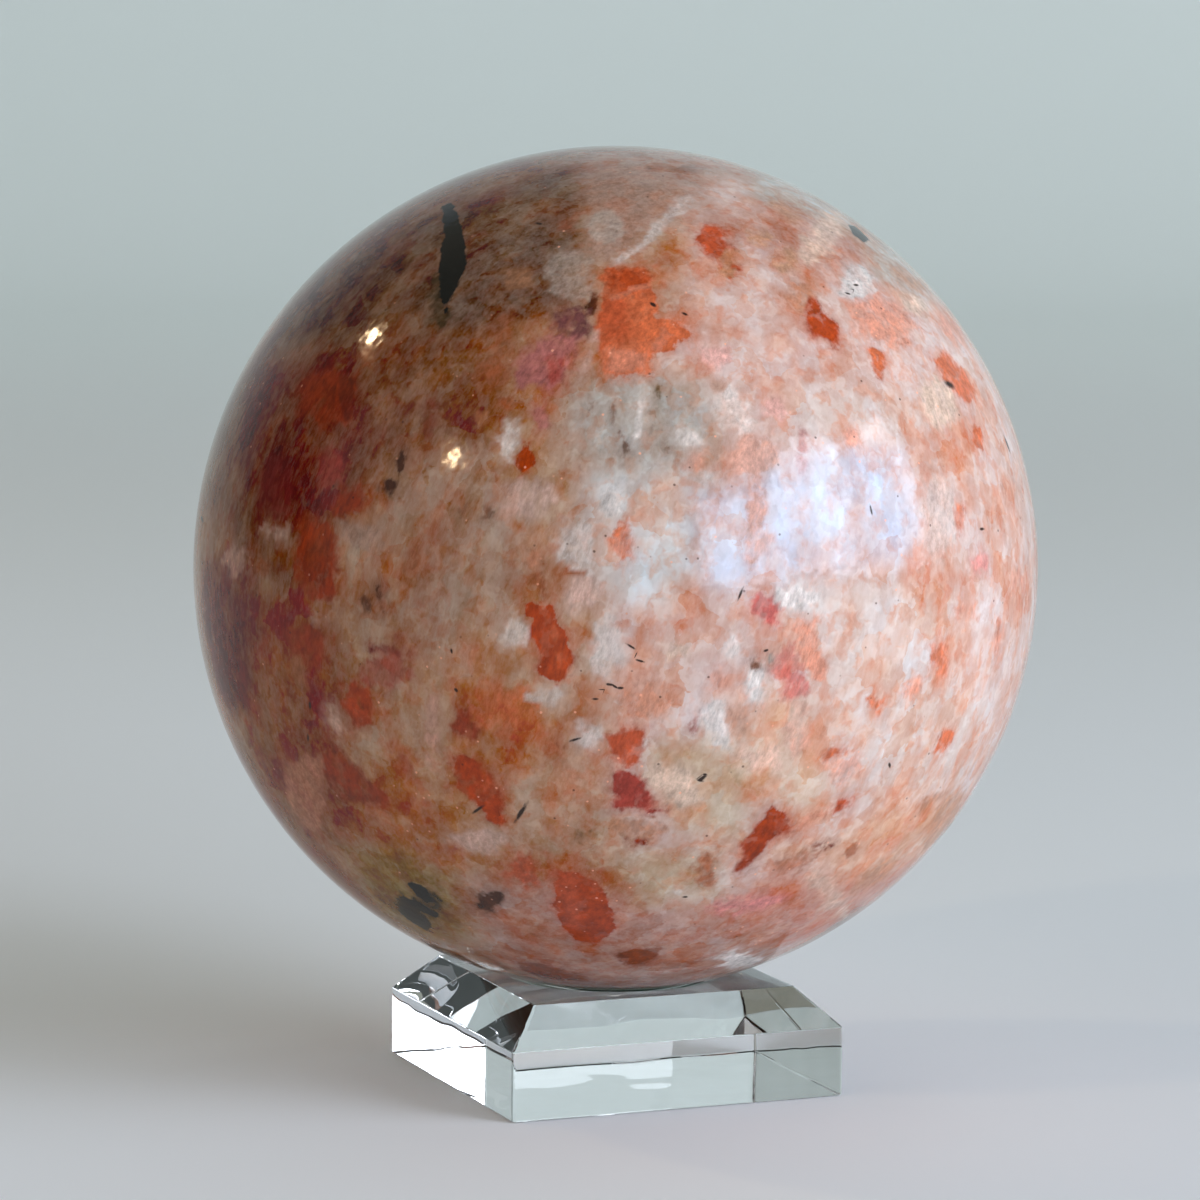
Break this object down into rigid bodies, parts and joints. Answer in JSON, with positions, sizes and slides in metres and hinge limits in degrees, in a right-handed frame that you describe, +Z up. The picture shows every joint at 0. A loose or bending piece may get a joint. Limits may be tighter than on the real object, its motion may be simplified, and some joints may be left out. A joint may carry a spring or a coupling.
{
  "type": "polished sunstone sphere on a stand",
  "caption": "Polished round stone sphere, mottled cream, peach and orange, resting in the dish of a clear square stand with bevelled upper edges.",
  "frame": {"origin": "middle of the stand's underside, on the surface that it stands on", "axes": "+Z up through the middle of the sphere; X and Y along the stand's sides, with its front facing -Y"},
  "size_m": [0.122, 0.122, 0.1356],
  "materials": {
    "sunstone": "polished translucent feldspar, mottled cream, peach, pink and orange with dark flecks",
    "clear_acrylic": "clear cast acrylic with polished faces"
  },
  "bodies": {
    "root": {"sunstone_sphere": "sunstone", "acrylic_stand": "clear_acrylic"}
  },
  "joints": []
}
